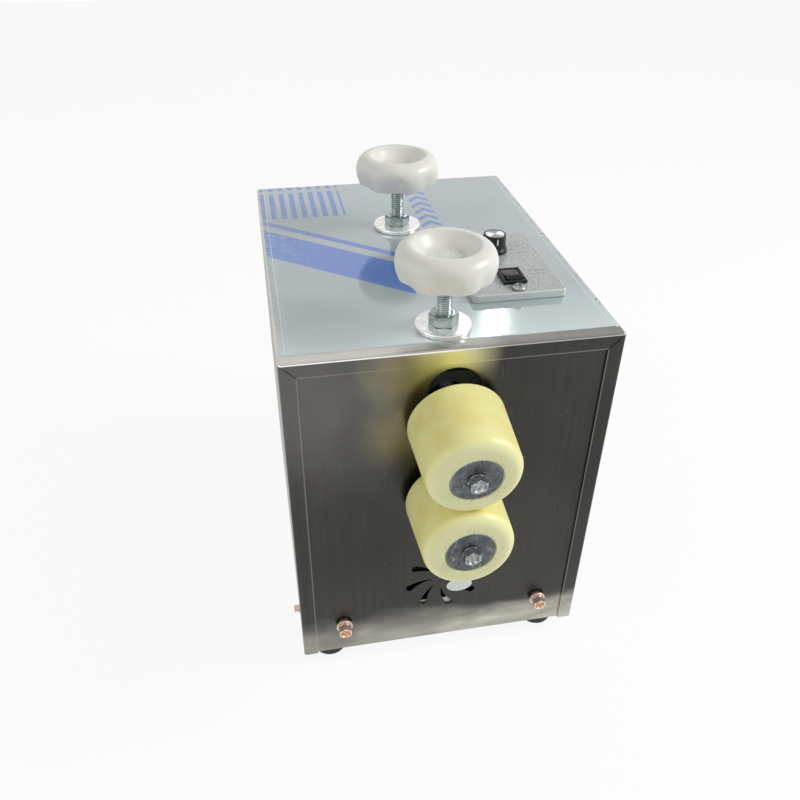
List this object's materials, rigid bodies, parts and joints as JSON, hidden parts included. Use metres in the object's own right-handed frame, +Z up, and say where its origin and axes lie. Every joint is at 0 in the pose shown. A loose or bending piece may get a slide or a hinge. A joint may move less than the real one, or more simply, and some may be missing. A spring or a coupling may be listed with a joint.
{
  "type": "dumpling wrapper machine",
  "caption": "Bench-top motor-driven dough sheeter: box-shaped folded steel case, conical nylon rollers at the front, screw adjusters with dished knobs, speed knob and rocker switch on top.",
  "frame": {"origin": "on the table under the middle of the outline", "axes": "+Z up, -Y out of the front where the rollers are, +X to the right seen from the front"},
  "size_m": [0.2184, 0.3562, 0.3311],
  "materials": {
    "case_steel": "brushed stainless sheet",
    "tray_steel": "mill finish sheet",
    "film": "thin protective film",
    "foot_rubber": "matt moulded rubber",
    "zinc_steel": "bright zinc plated steel",
    "copper_zinc": "pink passivated zinc plated steel",
    "black_plastic": "moulded black plastic",
    "bright_cap": "spun aluminium disc",
    "hammered_paint": "silver hammered paint",
    "white_nylon": "moulded white nylon",
    "roller_nylon": "turned pale yellow nylon",
    "dark_washer": "black oxide steel",
    "bright_bolt": "zinc plated hex bolt",
    "stand_iron": "blackened plate",
    "machine_screws": "black oxide screws",
    "shaft_steel": "ground steel",
    "gear_steel": "cut steel gear",
    "motor_paint": "grey motor enamel",
    "gearhead_alu": "die cast aluminium",
    "controller_plastic": "controller housing",
    "pot_metal": "plated potentiometer",
    "fan_plastic": "moulded fan",
    "capacitor_shell": "moulded capacitor shell"
  },
  "bodies": {
    "frame": {"cover": "case_steel", "front_panel": "case_steel", "rear_panel": "case_steel", "base_tray": "tray_steel", "top_film": "film", "rubber_feet": "foot_rubber", "top_washers": "zinc_steel", "lock_nuts": "zinc_steel", "foot_screws": "zinc_steel", "foot_nuts": "zinc_steel", "plate_screws": "zinc_steel", "panel_screws": "copper_zinc", "side_screws": "copper_zinc", "cable_gland": "black_plastic", "gland_nut": "black_plastic", "switch_body": "black_plastic", "control_plate": "hammered_paint", "front_stand": "stand_iron", "rear_stand": "stand_iron", "stand_caps": "stand_iron", "cap_screws": "machine_screws", "stand_screws": "machine_screws", "tie_screws": "machine_screws", "motor_bolts": "machine_screws", "tie_rods": "shaft_steel", "lower_bearings": "shaft_steel", "front_lift_spring": "shaft_steel", "rear_lift_spring": "shaft_steel", "motor": "motor_paint", "gearhead": "gearhead_alu", "speed_controller": "controller_plastic", "speed_pot": "pot_metal", "capacitor": "capacitor_shell"},
    "lower_roll": {"lower_shaft": "shaft_steel", "lower_roller": "roller_nylon", "lower_washer": "dark_washer", "lower_bolt": "bright_bolt", "lower_gear": "gear_steel", "drive_gear": "gear_steel"},
    "carriage": {"front_block": "stand_iron", "rear_block": "stand_iron", "upper_bearings": "shaft_steel"},
    "upper_roll": {"upper_shaft": "shaft_steel", "upper_roller": "roller_nylon", "upper_washer": "dark_washer", "upper_bolt": "bright_bolt", "upper_gear": "gear_steel"},
    "front_adjuster": {"front_rod": "zinc_steel", "front_knob": "white_nylon"},
    "rear_adjuster": {"rear_rod": "zinc_steel", "rear_knob": "white_nylon"},
    "speed_dial": {"speed_knob": "black_plastic", "knob_cap": "bright_cap"},
    "rocker_button": {"rocker": "black_plastic"},
    "motor_output": {"output_shaft": "shaft_steel", "drive_pinion": "gear_steel"},
    "rotor_fan": {"cooling_fan": "fan_plastic", "fan_shaft": "shaft_steel"}
  },
  "joints": [
    {"name": "lower_spin", "type": "hinge", "parent": "frame", "child": "lower_roll", "pos_m": [0, -0.1174, 0.16289], "axis": [0, -1, 0], "continuous": true},
    {"name": "carriage_slide", "type": "slide", "parent": "frame", "child": "carriage", "axis": [0, 0, 1], "range_m": [-0.0003, 0.004], "deforming": ["front_lift_spring", "rear_lift_spring"]},
    {"name": "upper_spin", "type": "hinge", "parent": "carriage", "child": "upper_roll", "pos_m": [0, -0.1174, 0.2259], "axis": [0, -0.996, -0.0889], "continuous": true},
    {"name": "front_knob_spin", "type": "hinge", "parent": "carriage", "child": "front_adjuster", "pos_m": [-0.003, -0.0909, 0.2755], "axis": [0, 0, 1], "range_deg": [-73, 961]},
    {"name": "rear_knob_spin", "type": "hinge", "parent": "carriage", "child": "rear_adjuster", "pos_m": [-0.003, 0.0626, 0.2755], "axis": [0, 0, 1], "range_deg": [-73, 961]},
    {"name": "motor_spin", "type": "hinge", "parent": "frame", "child": "motor_output", "pos_m": [0, 0.0786, 0.0875], "axis": [0, -1, 0], "continuous": true},
    {"name": "fan_spin", "type": "hinge", "parent": "frame", "child": "rotor_fan", "pos_m": [0, -0.0909, 0.0775], "axis": [0, -1, 0], "continuous": true},
    {"name": "speed_turn", "type": "hinge", "parent": "frame", "child": "speed_dial", "pos_m": [0.0538, -0.0034, 0.28125], "axis": [0, 0, -1], "range_deg": [0, 300]},
    {"name": "rocker_press", "type": "hinge", "parent": "frame", "child": "rocker_button", "pos_m": [0.0538, -0.0454, 0.28165], "axis": [1, 0, 0], "range_deg": [0, 24]}
  ],
  "couplings": [
    {"joint": "upper_spin", "follows": "lower_spin", "ratio": -1},
    {"joint": "motor_spin", "follows": "lower_spin", "ratio": -2},
    {"joint": "fan_spin", "follows": "lower_spin", "ratio": -18},
    {"joint": "front_knob_spin", "follows": "carriage_slide", "rad_per_m": 4188.8},
    {"joint": "rear_knob_spin", "follows": "carriage_slide", "rad_per_m": 4188.8}
  ]
}
